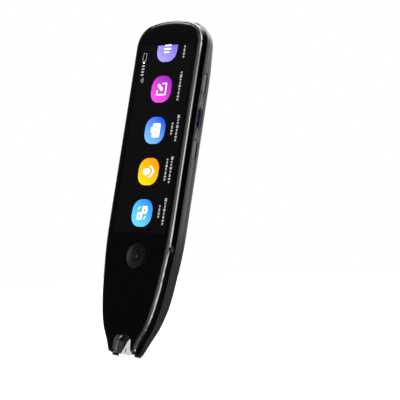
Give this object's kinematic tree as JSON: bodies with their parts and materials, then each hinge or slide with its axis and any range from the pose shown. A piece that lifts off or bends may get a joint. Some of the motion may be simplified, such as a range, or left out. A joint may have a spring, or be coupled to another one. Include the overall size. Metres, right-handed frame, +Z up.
{
  "type": "handheld translator",
  "caption": "Slim pen-shaped scan translator with a tall colour screen, a round home button, two side buttons, a charging port and a forked scanning tip that slides in when pressed on a page.",
  "frame": {"origin": "centre of the bounding box in X and Y, at the lowest point of the tip's two toes", "axes": "+Z up the length from the scanning tip to the top edge, -Y the way the screen faces, +X the side with the two buttons and the charging port"},
  "size_m": [0.04, 0.0123, 0.148],
  "materials": {
    "black_glass": "glossy",
    "bright_ring": "polished",
    "gloss_black": "glossy",
    "grey_shell": "satin",
    "button_black": "satin",
    "side_button": "satin",
    "tip_grey": "satin",
    "clear": "clear",
    "blue_print": "matte",
    "frosted": "frosted",
    "screen": "glossy",
    "diffuser": "matte",
    "flex": "satin",
    "circuit_board": "satin",
    "chip": "matte",
    "tinned_steel": "satin",
    "ceramic": "matte",
    "gilt": "satin",
    "blue_plastic": "satin",
    "switch": "satin",
    "battery_foil": "satin",
    "tape": "matte",
    "lead": "satin",
    "black_plastic": "satin",
    "mesh": "matte",
    "dark_glass": "glossy",
    "lamp": "glossy",
    "spring_steel": "bright"
  },
  "bodies": {
    "case": {"cover_glass": "black_glass", "trim_ring": "bright_ring", "mid_frame": "gloss_black", "rear_shell": "grey_shell", "home_ring": "bright_ring", "display_panel": "screen", "backlight": "diffuser", "display_flex": "flex", "main_board": "circuit_board", "processor": "chip", "memory_chip": "chip", "radio_shield": "tinned_steel", "antenna": "ceramic", "microphones": "gilt", "usb_shell": "tinned_steel", "usb_tongue": "blue_plastic", "side_switches": "switch", "home_board": "circuit_board", "home_switch": "switch", "battery": "battery_foil", "battery_tape": "tape", "battery_lead": "lead", "battery_socket": "ceramic", "speaker": "black_plastic", "speaker_mesh": "mesh", "camera_bezel": "black_plastic", "camera_window": "dark_glass", "camera_module": "black_plastic", "scan_board": "circuit_board", "scan_camera": "black_plastic", "scan_lens": "dark_glass", "scan_leds": "lamp", "tip_springs": "spring_steel", "tip_switch": "switch", "case_screws": "tinned_steel"},
    "home_button": {"home_button": "button_black"},
    "side_button_upper": {"side_button_upper": "side_button"},
    "side_button_lower": {"side_button_lower": "side_button"},
    "scan_tip": {"scan_tip": "tip_grey", "tip_window": "clear", "guide_mark": "blue_print", "light_guides": "frosted"}
  },
  "joints": [
    {"name": "home_press", "type": "slide", "parent": "case", "child": "home_button", "axis": [0, 1, 0], "range_m": [0, 0.0003], "stiffness_N_per_m": 4000},
    {"name": "upper_press", "type": "slide", "parent": "case", "child": "side_button_upper", "axis": [-1, 0, 0], "range_m": [0, 0.00035], "stiffness_N_per_m": 4000},
    {"name": "lower_press", "type": "slide", "parent": "case", "child": "side_button_lower", "axis": [-1, 0, 0], "range_m": [0, 0.00035], "stiffness_N_per_m": 4000},
    {"name": "tip_slide", "type": "slide", "parent": "case", "child": "scan_tip", "axis": [0, 0, 1], "range_m": [0, 0.0008], "stiffness_N_per_m": 600, "springref_m": -0.002, "deforming": ["tip_springs"]}
  ]
}
